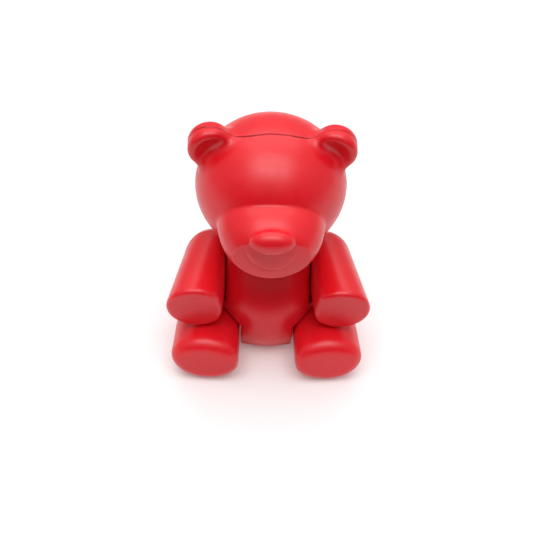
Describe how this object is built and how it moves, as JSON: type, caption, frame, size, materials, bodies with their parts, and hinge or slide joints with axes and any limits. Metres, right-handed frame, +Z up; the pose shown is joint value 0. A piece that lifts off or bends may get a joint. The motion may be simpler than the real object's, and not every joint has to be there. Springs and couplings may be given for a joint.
{
  "type": "vinyl art toy",
  "caption": "Seated red bear art toy of moulded vinyl shells with a turning head, arms that lift and legs that swing down.",
  "frame": {"origin": "on the floor, under the middle of the toy's box", "axes": "+Z up, the bear faces -Y, +X towards the bear's own left side"},
  "size_m": [0.0584, 0.053, 0.0722],
  "materials": {
    "red_vinyl": "satin moulded vinyl, coloured through",
    "peg_plastic": "natural moulded plastic"
  },
  "bodies": {
    "torso": {"torso_front_shell": "red_vinyl", "torso_rear_shell": "red_vinyl", "neck_peg": "peg_plastic", "left_shoulder_peg": "peg_plastic", "left_hip_peg": "peg_plastic", "right_shoulder_peg": "peg_plastic", "right_hip_peg": "peg_plastic"},
    "head": {"head_front_shell": "red_vinyl", "head_rear_shell": "red_vinyl"},
    "left_arm": {"left_arm_shell": "red_vinyl", "left_shoulder_cap": "red_vinyl"},
    "left_leg": {"left_leg_shell": "red_vinyl", "left_hip_cap": "red_vinyl"},
    "right_arm": {"right_arm_shell": "red_vinyl", "right_shoulder_cap": "red_vinyl"},
    "right_leg": {"right_leg_shell": "red_vinyl", "right_hip_cap": "red_vinyl"}
  },
  "joints": [
    {"name": "neck_swivel", "type": "hinge", "parent": "torso", "child": "head", "pos_m": [0, 0.0036, 0.03445], "axis": [0, 0, 1], "continuous": true},
    {"name": "left_shoulder", "type": "hinge", "parent": "torso", "child": "left_arm", "pos_m": [0.01245, 0.0036, 0.0253], "axis": [-1, 0, 0], "range_deg": [0, 20]},
    {"name": "left_hip", "type": "hinge", "parent": "torso", "child": "left_leg", "pos_m": [0.00795, 0.0036, 0.00816], "axis": [1, 0, 0], "range_deg": [0, 90]},
    {"name": "right_shoulder", "type": "hinge", "parent": "torso", "child": "right_arm", "pos_m": [-0.01245, 0.0036, 0.0253], "axis": [-1, 0, 0], "range_deg": [0, 20]},
    {"name": "right_hip", "type": "hinge", "parent": "torso", "child": "right_leg", "pos_m": [-0.00795, 0.0036, 0.00816], "axis": [1, 0, 0], "range_deg": [0, 90]}
  ]
}
